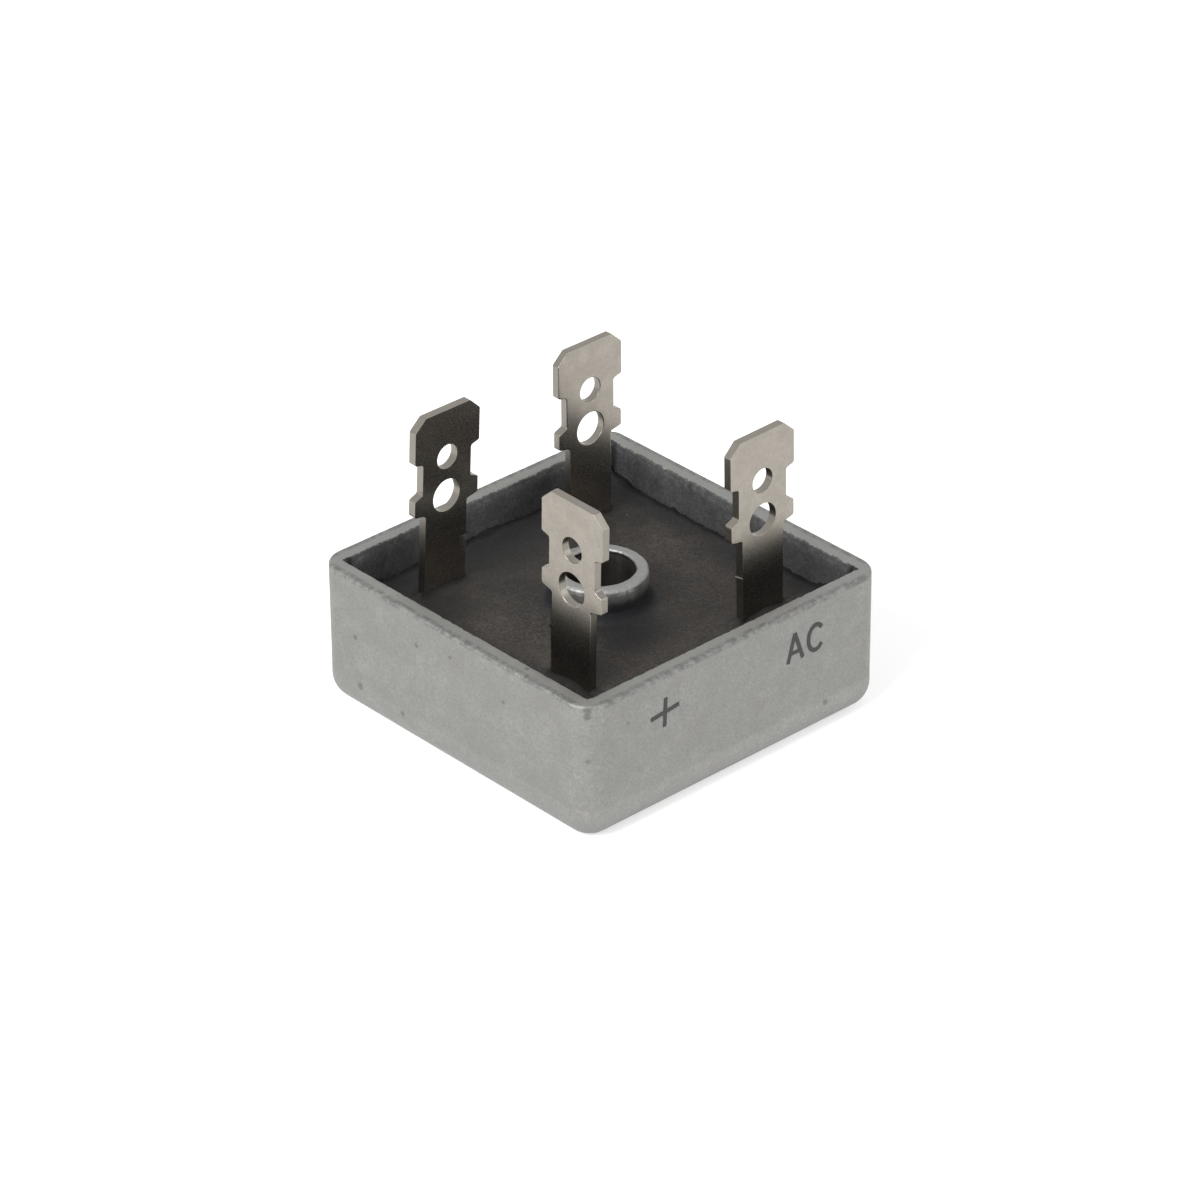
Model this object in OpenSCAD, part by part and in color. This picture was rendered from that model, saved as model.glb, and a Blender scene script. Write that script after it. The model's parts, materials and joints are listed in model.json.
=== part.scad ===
// Square bridge rectifier: a metal cup with a screw boss in the middle, four diode
// chips soldered between flat conductors inside it, four tab terminals that stand up
// out of the stack, and potting poured in around everything.
// The underside of the cup lies on z = 0, with the screw hole on the Z axis.
// All sizes are in millimetres.

/* [Case] */
// Side of the square case
case_side = 28.6; // [27:0.1:34]
// Height of the case wall
case_h = 11.2; // [10:0.1:14]
// Thickness of the wall
wall_t = 1.5; // [1:0.1:2]
// Thickness of the floor
floor_t = 2.5; // [2:0.1:3.4]
// Radius of the outer upright corners and of the bottom edge
case_edge_r = 2.1; // [1:0.1:2.4]
// Radius of the upright corners inside the case
inner_corner_r = 0.5; // [0.3:0.1:1.5]
// Bevel along the inner edge of the rim
rim_bevel = 0.25; // [0.1:0.05:0.4]
// Diameter of the screw hole
hole_d = 5.2; // [4.2:0.1:5.6]
// Wall of the boss around the screw hole
boss_wall = 1; // [0.8:0.1:1.3]
// Radius of the round shoulder on top of the boss
boss_edge_r = 0.4; // [0.2:0.1:0.7]
// Drop from the rim to the top of the boss
boss_drop = 0.2; // [0:0.1:0.6]

/* [Potting] */
// Depth of the open well above the potting
well_depth = 2.8; // [2:0.1:3]
// Height that the potting creeps up the wall
creep_h = 0.7; // [0.3:0.1:1]
// Radius of the hollow curve between the wall and the level potting
creep_r = 1; // [1:0.1:1.8]
// Thickness of the skin of potting at the top of its creep
creep_t = 0.1; // [0.05:0.05:0.3]
// Height and reach of the potting that climbs the boss
boss_creep = 0.4; // [0.2:0.1:0.7]

/* [Insulator] */
// Thickness of the ceramic plate on the floor
insulator_t = 1; // [0.6:0.1:1.1]
// Gap between the ceramic plate and the wall
insulator_gap = 0.5; // [0.3:0.1:1]
// Gap between the ceramic plate and the boss
insulator_boss_gap = 0.6; // [0.3:0.1:1.5]

/* [Conductors] */
// Thickness of the flat conductors
conductor_t = 0.8; // [0.5:0.1:0.9]
// Width of a conductor's two arms
arm_w = 5; // [4.6:0.1:5.4]
// Gap between the conductors and the wall
conductor_gap = 1.25; // [0.8:0.05:1.6]
// Length of arm past the middle of the chip that it carries
arm_overhang = 2.5; // [2.3:0.1:3]
// Side of a bevelled corner of a conductor
arm_bevel = 0.6; // [0.2:0.1:1]

/* [Diode chips] */
// Side of a square diode chip
chip_side = 4; // [3:0.1:4.4]
// Thickness of a diode chip
chip_t = 0.3; // [0.2:0.05:0.4]
// Margin of bare chip around its solder
chip_margin = 0.2; // [0.1:0.05:0.4]
// Thickness of every layer of solder
solder_t = 0.1; // [0.05:0.05:0.15]

/* [Terminal blade] */
// Height of the blades' tips above the underside of the case
overall_h = 23; // [22:0.05:25.4]
// Thickness of the sheet that the terminals are stamped from
blade_t = 0.65; // [0.5:0.05:0.9]
// Width of the head of the blade
head_w = 6.15; // [5.8:0.05:6.4]
// Depth below the tip at which the straight sides of the head end
head_depth = 3.5; // [3.2:0.05:3.6]
// Width of the bevel on each corner of the tip
tip_bevel_w = 0.95; // [0.4:0.05:1.4]
// Depth of the bevel on each corner of the tip
tip_bevel_h = 0.9; // [0.4:0.05:1.4]
// Width of the neck
neck_w = 4.6; // [4:0.05:5]
// Depth of the top of the neck
neck_top = 3.7; // [3.6:0.05:4.2]
// Depth of the bottom of the neck
neck_bottom = 6.15; // [5.6:0.05:6.2]
// Width across the two lower wings
wing_w = 6.05; // [5.8:0.05:6.4]
// Depth at which the wings are at their full width
wing_top = 6.45; // [6.3:0.05:6.8]
// Depth at which the wings end
wing_bottom = 7.75; // [7.4:0.05:7.8]
// Depth at which the stem begins
stem_top = 7.95; // [7.9:0.05:8.6]
// Width of the stem and of the foot
stem_w = 3.95; // [3.2:0.05:4.2]
// Radius of the corners along the blade's outline
blade_corner_r = 0.2; // [0.05:0.05:0.2]
// Diameter of the upper hole
upper_hole_d = 1.92; // [1:0.02:2.6]
// Depth of the centre of the upper hole
upper_hole_depth = 3.8; // [3:0.05:4.2]
// Diameter of the lower hole, for a wire
wire_hole_d = 2.56; // [1.6:0.02:2.8]
// Depth of the centre of the lower hole
wire_hole_depth = 6.95; // [6.7:0.05:7.2]
// Radius inside the bend between stem and foot
bend_r = 0.5; // [0.3:0.05:0.8]
// Length of the foot, from the middle of the stem's thickness
foot_reach = 2.3; // [2:0.05:2.4]
// Distance from the outer end of a conductor to the middle of its terminal
terminal_inset = 4.4; // [3.6:0.05:5.2]

/* [Set of each blade] */
// Lean of the first AC blade towards its foot, in degrees
ac_1_lean = 1.9; // [-2.5:0.1:2.5]
// Sideways tilt of the first AC blade, in degrees
ac_1_tilt = 1.2; // [-2:0.1:2]
// Turn of the first AC blade about its stem, in degrees
ac_1_twist = 1.6; // [-2:0.1:2]
// Sideways tilt of the second AC blade, in degrees
ac_2_tilt = 1; // [-2:0.1:2]
// Sideways tilt of the positive blade, in degrees
positive_tilt = -1.6; // [-2:0.1:2]
// Turn of the positive blade about its stem, in degrees
positive_twist = 0.9; // [-2:0.1:2]

/* [Hidden] */
$fn = 64;
corner_steps = 4;

inner_side = case_side - 2 * wall_t;
hole_r = hole_d / 2;
boss_r = hole_r + boss_wall;
boss_top = case_h - boss_drop;
potting_top = case_h - well_depth;

// Levels of the soldered stack, from the floor up
insulator_z = floor_t;
lower_z = insulator_z + insulator_t;
lower_top = lower_z + conductor_t;
chip_z = lower_top + solder_t;
upper_z = chip_z + chip_t + solder_t;
upper_top = upper_z + conductor_t;

// Plan of the stack: the conductors' arms run along the walls, a chip sits at the
// middle of each side, and arm_line is the distance of its middle from the hole.
conductor_reach = inner_side / 2 - conductor_gap;
arm_line = conductor_reach - arm_w / 2;
terminal_offset = conductor_reach - terminal_inset;

// The blade kinks at its root, just under the surface of the potting
root_depth = 0.4;
root_z = potting_top - root_depth;

CHIPS = ["diode_chip_1", "diode_chip_2", "diode_chip_3", "diode_chip_4"];
LOWER_SOLDERS = ["chip_solder_lower_1", "chip_solder_lower_2", "chip_solder_lower_3", "chip_solder_lower_4"];
UPPER_SOLDERS = ["chip_solder_upper_1", "chip_solder_upper_2", "chip_solder_upper_3", "chip_solder_upper_4"];
TERMINALS = ["terminal_positive", "terminal_ac_1", "terminal_negative", "terminal_ac_2"];
FOOT_SOLDERS = ["foot_solder_positive", "foot_solder_ac_1", "foot_solder_negative", "foot_solder_ac_2"];

// Each terminal: [x, y, turn about Z, level of the conductor under it, lean, tilt, twist]
PLACES = [
    [-arm_line, -terminal_offset, 90, lower_top, 0, positive_tilt, positive_twist],
    [-terminal_offset, arm_line, 0, upper_top, ac_1_lean, ac_1_tilt, ac_1_twist],
    [terminal_offset, arm_line, 0, lower_top, 0, 0, 0],
    [terminal_offset, -arm_line, 180, upper_top, 0, ac_2_tilt, 0]
];

// ---- shared shapes ----

// Box with round upright corners and a round bottom edge, all of one radius
module soft_box(side, height, r) {
    inset = side / 2 - r;
    for (turn = [0:90:270]) rotate(turn) translate([inset, inset, r]) {
        sphere(r = r);
        cylinder(h = height - r, r = r);
        rotate([90, 0, 0]) cylinder(h = 2 * inset, r = r);
    }
    translate([-inset, -inset, 0]) cube([2 * inset, 2 * inset, height]);
    translate([-side / 2, -inset, r]) cube([side, 2 * inset, height - r]);
    translate([-inset, -side / 2, r]) cube([2 * inset, side, height - r]);
}

// Square with round corners
module soft_square(side, r) {
    inset = side / 2 - r;
    for (x = [-inset, inset], y = [-inset, inset]) translate([x, y]) circle(r = r);
    square([2 * inset, side], center = true);
    square([side, 2 * inset], center = true);
}

// Space inside the case wall, from the floor up
module cavity(height) {
    translate([0, 0, floor_t]) linear_extrude(height) soft_square(inner_side, inner_corner_r);
}

// Square layer centred on the place of chip i
module chip_layer(i, side, z, thickness) {
    rotate(90 * i) translate([-arm_line, 0, z + thickness / 2]) cube([side, side, thickness], center = true);
}

// Flat conductor with two arms that meet in the corner at -X, -Y
module corner_conductor(z) {
    outer = -conductor_reach;
    inner = outer + arm_w;
    tip = arm_overhang;
    b = arm_bevel;
    translate([0, 0, z]) linear_extrude(conductor_t) polygon([
        [outer + b, outer], [tip - b, outer], [tip, outer + b], [tip, inner - b], [tip - b, inner],
        [inner, inner],
        [inner, tip - b], [inner - b, tip], [outer + b, tip], [outer, tip - b], [outer, outer + b]
    ]);
}

// ---- case, potting and insulator ----

// Half section of the boss, with its round shoulder
module boss_outline() {
    square([boss_r - boss_edge_r, boss_top]);
    square([boss_r, boss_top - boss_edge_r]);
    translate([boss_r - boss_edge_r, boss_top - boss_edge_r]) circle(r = boss_edge_r);
}

// Wedge-shaped space over the bevel along the inner edge of the rim, taken past the rim
module bevel_space() {
    inset = inner_side / 2 - inner_corner_r;
    rise = 2 * rim_bevel;
    translate([0, 0, case_h - rim_bevel]) for (turn = [0:90:270]) rotate(turn) {
        translate([inset, inset, 0]) cylinder(h = rise, r1 = inner_corner_r, r2 = inner_corner_r + rise);
        translate([inset, 0, 0]) rotate([90, 0, 0]) linear_extrude(2 * inset, center = true)
            polygon([[0, 0], [inner_corner_r, 0], [inner_corner_r + rise, rise], [0, rise]]);
    }
}

// Metal cup with its screw boss
module case() {
    color("darkgray") difference() {
        union() {
            difference() {
                soft_box(case_side, case_h, case_edge_r);
                cavity(case_h);
                bevel_space();
            }
            rotate_extrude() boss_outline();
        }
        translate([0, 0, -1]) cylinder(h = case_h + 2, r = hole_r);
    }
}

// Room above the potting: it is level in the middle and creeps up the wall and the boss
module well() {
    difference() {
        translate([0, 0, potting_top]) soft_box(inner_side - 2 * creep_t, case_h, creep_r);
        translate([0, 0, potting_top]) rotate_extrude() difference() {
            square([boss_r + boss_creep, boss_creep]);
            translate([boss_r + boss_creep, boss_creep]) circle(r = boss_creep);
        }
    }
}

// Potting compound, with the space that the soldered stack takes up
module potting() {
    color([0.2, 0.18, 0.17]) difference() {
        cavity(potting_top + creep_h - floor_t);
        well();
        cylinder(h = case_h, r = boss_r);
        insulator();
        positive_plate();
        negative_plate();
        ac_link_1();
        ac_link_2();
        for (i = [0:3]) {
            diode_chip(i);
            chip_solder_lower(i);
            chip_solder_upper(i);
            terminal(i);
            foot_solder(i);
        }
    }
}

// Ceramic plate that keeps the stack off the floor
module insulator() {
    color("ivory") difference() {
        translate([0, 0, insulator_z]) linear_extrude(insulator_t)
            soft_square(inner_side - 2 * insulator_gap, inner_corner_r);
        cylinder(h = case_h, r = boss_r + insulator_boss_gap);
    }
}

// ---- conductors ----

// Plate under the positive terminal and the cathodes of chips 1 and 2
module positive_plate() {
    color("peru") corner_conductor(lower_z);
}

// Plate under the negative terminal and the anodes of chips 3 and 4
module negative_plate() {
    color("peru") rotate(180) corner_conductor(lower_z);
}

// Link over chips 1 and 4 that carries the first AC terminal
module ac_link_1() {
    color("peru") rotate(-90) corner_conductor(upper_z);
}

// Link over chips 2 and 3 that carries the second AC terminal
module ac_link_2() {
    color("peru") rotate(90) corner_conductor(upper_z);
}

// ---- diode chips and solder ----

module diode_chip(i) {
    color("dimgray") chip_layer(i, chip_side, chip_z, chip_t);
}

module chip_solder_lower(i) {
    color("silver") chip_layer(i, chip_side - 2 * chip_margin, lower_top, solder_t);
}

module chip_solder_upper(i) {
    color("silver") chip_layer(i, chip_side - 2 * chip_margin, chip_z + chip_t, solder_t);
}

// ---- terminals ----

// Points of the round corner at b, on the way from a to c
function round_corner(a, b, c, r) =
    let (
        back = (a - b) / norm(a - b),
        on = (c - b) / norm(c - b),
        half = acos(back * on) / 2,
        centre = b + (back + on) / norm(back + on) * r / sin(half),
        start = b + back * r / tan(half) - centre,
        turn = cross(on, back) > 0 ? 180 - 2 * half : 2 * half - 180
    )
    [for (k = [0:corner_steps]) let (w = turn * k / corner_steps)
        centre + [start[0] * cos(w) - start[1] * sin(w), start[0] * sin(w) + start[1] * cos(w)]];

// Corners down one side of the blade, as [distance from its middle, height above its tip].
// The first and last only give the direction in which the outline starts and ends.
blade_corners = [
    [0, 0],
    [head_w / 2 - tip_bevel_w, 0],
    [head_w / 2, -tip_bevel_h],
    [head_w / 2, -head_depth],
    [neck_w / 2, -neck_top],
    [neck_w / 2, -neck_bottom],
    [wing_w / 2, -wing_top],
    [wing_w / 2, -wing_bottom],
    [stem_w / 2, -stem_top],
    [stem_w / 2, -stem_top - 1]
];
blade_side = [
    for (k = [1:len(blade_corners) - 2])
        each round_corner(blade_corners[k - 1], blade_corners[k], blade_corners[k + 1], blade_corner_r)
];

// Point of a blade whose tip is this far above its root, tilted sideways about the root
function tilted(p, rise, tilt) = [
    p[0] * cos(tilt) + (rise + p[1]) * sin(tilt),
    (rise + p[1]) * cos(tilt) - p[0] * sin(tilt)
];

// Stamped outline with its root at the origin; the foot end goes straight down from there
module blade_outline(rise, foot_drop, tilt) {
    side = stem_w / 2;
    difference() {
        polygon(concat(
            [for (p = blade_side) tilted(p, rise, tilt)],
            [[side, 0], [side, -foot_drop], [-side, -foot_drop], [-side, 0]],
            [for (k = [len(blade_side) - 1:-1:0]) tilted([-blade_side[k][0], blade_side[k][1]], rise, tilt)]
        ));
        translate(tilted([0, -upper_hole_depth], rise, tilt)) circle(d = upper_hole_d);
        translate(tilted([0, -wire_hole_depth], rise, tilt)) circle(d = wire_hole_d);
    }
}

// Section through the foot and the bend, with the centre of the bend at the origin
module foot_section(lean) {
    outer_r = bend_r + blade_t;
    intersection() {
        difference() {
            circle(r = outer_r);
            circle(r = bend_r);
        }
        polygon([[0, 0], [0, -2 * outer_r], [2 * outer_r, -2 * outer_r], [2 * outer_r, 2 * outer_r * tan(lean)]]);
    }
    foot_flat = foot_reach - bend_r - blade_t / 2;
    translate([-foot_flat, -outer_r]) square([foot_flat, blade_t]);
}

// Puts its children on conductor i, in the place and turn of its terminal
module at_terminal(i) {
    p = PLACES[i];
    translate([p[0], p[1], p[3]]) rotate(p[2] + p[6]) children();
}

// Tab terminal i: one stamping with a soldered foot, a bend and a notched blade
module terminal(i) {
    lean = PLACES[i][4];
    tilt = PLACES[i][5];
    bend_z = solder_t + blade_t + bend_r;
    root_rise = root_z - PLACES[i][3] - bend_z;
    color("gainsboro") at_terminal(i) translate([0, -blade_t / 2 - bend_r, bend_z]) {
        rotate([90, 0, 90]) translate([0, 0, -stem_w / 2]) linear_extrude(stem_w) foot_section(lean);
        rotate([lean, 0, 0]) translate([0, bend_r + blade_t, root_rise]) rotate([90, 0, 0]) linear_extrude(blade_t)
            blade_outline(overall_h - root_z, root_rise, tilt);
    }
}

// Solder under the foot of terminal i
module foot_solder(i) {
    foot_flat = foot_reach - bend_r - blade_t / 2;
    color("silver") at_terminal(i) translate([-stem_w / 2, -foot_reach, 0]) cube([stem_w, foot_flat, solder_t]);
}

// ---- the part ----

case();
potting();
insulator();
positive_plate();
negative_plate();
ac_link_1();
ac_link_2();
for (i = [0:3]) {
    diode_chip(i);
    chip_solder_lower(i);
    chip_solder_upper(i);
    terminal(i);
    foot_solder(i);
}
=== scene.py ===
"""Looks of a square bridge rectifier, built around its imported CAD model.

The CAD nodes give the places: the case, the potting and the four terminals are
replaced by finer meshes of the same size, and the sealed pieces inside keep their
CAD solids and get their own materials. Lengths named here are in millimetres, and
MM turns them into the frame's metres.
"""
import json
import math
import bmesh
import bpy
from mathutils import Matrix, Vector, noise


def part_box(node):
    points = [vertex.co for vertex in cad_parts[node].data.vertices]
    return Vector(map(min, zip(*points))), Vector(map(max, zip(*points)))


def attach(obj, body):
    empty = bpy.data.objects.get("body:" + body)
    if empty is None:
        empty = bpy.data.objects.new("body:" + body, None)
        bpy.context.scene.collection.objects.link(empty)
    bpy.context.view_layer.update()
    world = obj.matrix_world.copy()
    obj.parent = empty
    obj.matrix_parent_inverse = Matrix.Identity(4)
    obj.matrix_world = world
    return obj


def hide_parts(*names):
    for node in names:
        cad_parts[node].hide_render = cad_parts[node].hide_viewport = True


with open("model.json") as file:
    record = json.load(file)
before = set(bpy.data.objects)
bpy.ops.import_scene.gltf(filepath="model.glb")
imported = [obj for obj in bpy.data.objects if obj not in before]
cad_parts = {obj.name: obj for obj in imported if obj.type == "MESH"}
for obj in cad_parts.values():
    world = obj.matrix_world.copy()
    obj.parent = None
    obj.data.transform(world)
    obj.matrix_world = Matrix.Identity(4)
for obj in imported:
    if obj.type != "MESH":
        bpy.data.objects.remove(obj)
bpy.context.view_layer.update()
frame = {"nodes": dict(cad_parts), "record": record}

MM = 0.001
ROOT = "root"

# ---- sizes taken from the frame ----

CASE_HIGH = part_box("case")[1] / MM
POTTING_LOW, POTTING_HIGH = [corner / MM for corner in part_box("potting")]
HOLE = next(mount for mount in frame["record"]["mounts"] if mount["name"] == "screw_hole")
HOLE_R = HOLE["dims"]["r_mm"]
HALF = CASE_HIGH.x
CASE_H = CASE_HIGH.z
INNER_HALF = POTTING_HIGH.x
FLOOR_Z = POTTING_LOW.z
BOSS_WALL = 1.0
BOSS_R = HOLE_R + BOSS_WALL
BOSS_TOP = HOLE["dims"]["length_mm"]
TERMINALS = ["terminal_positive", "terminal_ac_1", "terminal_negative", "terminal_ac_2"]

# ---- case ----

EDGE_R = 2.1
# The back corner is tighter than the other three: its radius as a share of theirs
BACK_CORNER = 0.5
INNER_CORNER_R = 0.5
RIM_OUTER_R = 0.25
RIM_CHAMFER = 0.24
RIM_MIDDLE_CORNER_R = 1.1
# Inner edge of the rim, as (how far out from the wall, how far below the top)
RIM_PROFILE = [(RIM_CHAMFER, 0), (RIM_CHAMFER - 0.06, 0.03), (RIM_CHAMFER - 0.12, 0.12), (0.03, 0.38)]
BOSS_EDGE_R = 0.5
BORE_EDGE_R = 0.2
BORE_CHAMFER = 0.15
# Least corner radius of the rings round the bottom edge
SMALLEST_CORNER_R = 0.05

# Rings between the rounded edges: heights on the walls, and radii on the underside and the floor
OUTER_HEIGHTS = (3.0, 4.5, 6.0, 7.5, 9.0, 10.0)
INNER_HEIGHTS = (10.4, 9.7, 9.0, 8.0, 5.0)
BOSS_HEIGHTS = (8.0, 9.4)
BORE_HEIGHTS = (8.0, 4.0)
UNDERSIDE_RING_R = 6
FLOOR_RING_R = 7

# Points of each ring along one side and round one corner
SIDE_STEPS = 150
CORNER_STEPS = 14

# Depth of the band along the outside that counts as the cast faces, and of the boss's scuffed top
CAST_BAND = 1
SCUFFED_DEPTH = BOSS_EDGE_R + 0.2
# Uneven surfaces of the casting: how far they move, and how closely the noise is packed
RIM_RAGGED = 0.06
RIM_CHIPPED = 0.03
RIM_NOISE = 1.7
CAST_WAVE = 0.03
CAST_NOISE = 0.35
BOSS_DENT = 0.05
BOSS_NOISE = 0.9
# Falloff, lacunarity and octaves of the fractal noise on the casting and along the potting's crack
CASTING_FRACTAL = (0.8, 2.2, 4)
CRACK_FRACTAL = (0.9, 2.1, 4)

# Dark specks and rubs on the case, as (place, reach)
SPECKS = [
    ((-HALF, 10.2, 6.5), 0.3),
    ((-13.8, -13.8, 6.8), 0.35),
    ((-13.68, -13.68, 10.9), 0.45),
    ((-13.7, -13.68, 10.4), 0.4),
    ((-HALF, 9.8, 2.6), 0.4),
    ((-HALF, 5.2, 2.4), 0.3),
    ((8.6, -HALF, 2.5), 0.35),
    ((-HALF, 3.5, 8.8), 0.25),
]

# ---- potting ----

POTTING_LEVEL = 8.28
POTTING_SWELL = 0.09
# How high it climbs each thing, and how far away that height has fallen to about a third
WALL_CREEP = 0.35
WALL_CREEP_WANDER = 0.35
WALL_REACH = 0.45
CORNER_CREEP = 1.1
CORNER_REACH = 1.5
BOSS_CREEP = 0.9
BOSS_REACH = 0.25
TAB_CREEP = 0.55
TAB_REACH = 0.45
# Share of the creep that is missing at the corners of a stem
TAB_CORNER_LOSS = 0.6
CRACK_DEPTH = 0.4
CRACK_WIDTH = 0.24
GROOVE_DEPTH = 0.12
GROOVE_WIDTH = 0.1
# Width of the painted shadow round each stem, and how much it wanders
CREVICE_SHADE_WIDTH = 0.4
CREVICE_SHADE_WANDER = 0.3
POTTING_RINGS = 120
# How much the rings of its surface crowd towards the wall and the boss
RING_CROWDING = 0.12

# Painted shadows on the potting, as (place, reach)
POTTING_SHADOWS = [((-1.2, -4.6, POTTING_LEVEL), 4.4), ((-7.5, -6.5, POTTING_LEVEL), 3.0)]

# ---- terminals ----

# Tooth that the strip's broken tie bar left on one edge of each stem: the way it points, its
# height, and whether it is on the near (-1) or the far (1) corner of that edge
STUBS = {
    "terminal_positive": ((0, 1), 12.2, -1),
    "terminal_ac_1": ((1, 0), 12.2, -1),
    "terminal_negative": ((1, 0), 12.2, -1),
    "terminal_ac_2": ((-1, 0), 11.9, 1),
}
STUB_HALF_H = 0.14
STUB_REACH = 0.17
ROLLED_EDGE = 0.06
ROLLED_EDGE_STEPS = 3
# Edges further down than this under the potting's level stay sharp, because nobody sees them
HIDDEN_DEPTH = 2
SAME_POINT = 0.001
CUT_TOLERANCE = 1e-5
ON_CUT = 1e-4
# A turned sheet sets the two corners of one edge apart by less than this
CORNER_OFFSET = 0.1

# A face is part of the cut edge, and an edge runs along the sheet, where the cosine of its
# angle to the sheet's normal is under this
CUT_FACE_COSINE = 0.95
ALONG_SHEET_COSINE = 0.5

# Angles in degrees
FLAT_ANGLE = 1
SHARP_ANGLE = 60
SHEET_ANGLE = 40
CASE_SMOOTH_ANGLE = 50
POTTING_SMOOTH_ANGLE = 60

# ---- printed marks, in (x, z) on the marked face ----

PEN_WIDTH = 0.33
CAP_LOW = 7.2
CAP_HIGH = 9.45
PLUS_UPRIGHT = [(-7.03, 7.1), (-6.93, 9.4)]
PLUS_LEVEL = [(-8.33, 8.14), (-5.66, 8.4)]
A_LEFT_LEG = [(4.84, CAP_LOW), (5.5, CAP_HIGH)]
A_RIGHT_LEG = [(5.5, CAP_HIGH), (6.3, CAP_LOW)]
A_BAR = [(5.1, CAP_LOW + 0.72), (6.14, CAP_LOW + 0.72)]
A_BAR_WIDTH = PEN_WIDTH * 0.9
C_MIDDLE = (7.56, 8.33)
C_HALF_WIDTH = 0.72
C_HALF_HEIGHT = 1.02
C_START_ANGLE = 38
C_SWEEP_ANGLE = 284
C_STEPS = 24
# How far the first stroke stands proud of the face, how far all of them reach into it, and how
# much further out each next stroke stands
INK_PROUD = 0.01
INK_DEEP = 0.06
INK_LAYER = 0.001

# ---- camera, as solved from the corners of the case ----

CAMERA_AZIMUTH = -42.284
CAMERA_ELEVATION = 30.619
CAMERA_ROLL = -0.409
CAMERA_DISTANCE = 393.21
CAMERA_TARGET_Z = 5.0
CAMERA_SLIDE = (-0.012, 2.791)
CAMERA_LENS = 164.54
CAMERA_SENSOR = 36
CAMERA_CLIP_START = 10

# ---- light and floor ----

# Strength of the white world as soft light; the camera, reflections and glass see it at 1
WORLD_LIGHT = 0.5
# Glow of the white floor as they see it, on top of the light that falls on it
FLOOR_GLOW = 0.5
FLOOR_HALF = 4000
# The floor lies a hair under the case, so the two surfaces don't share a plane
FLOOR_DROP = 0.02

# ---- shader graph helpers ----

# Numbers of the colour sockets of Blender's Mix node
MIX_FIRST = 6
MIX_SECOND = 7
MIX_RESULT = 2
# Share of a spot's reach in which it is at full strength
SPOT_CORE = 0.3


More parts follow.
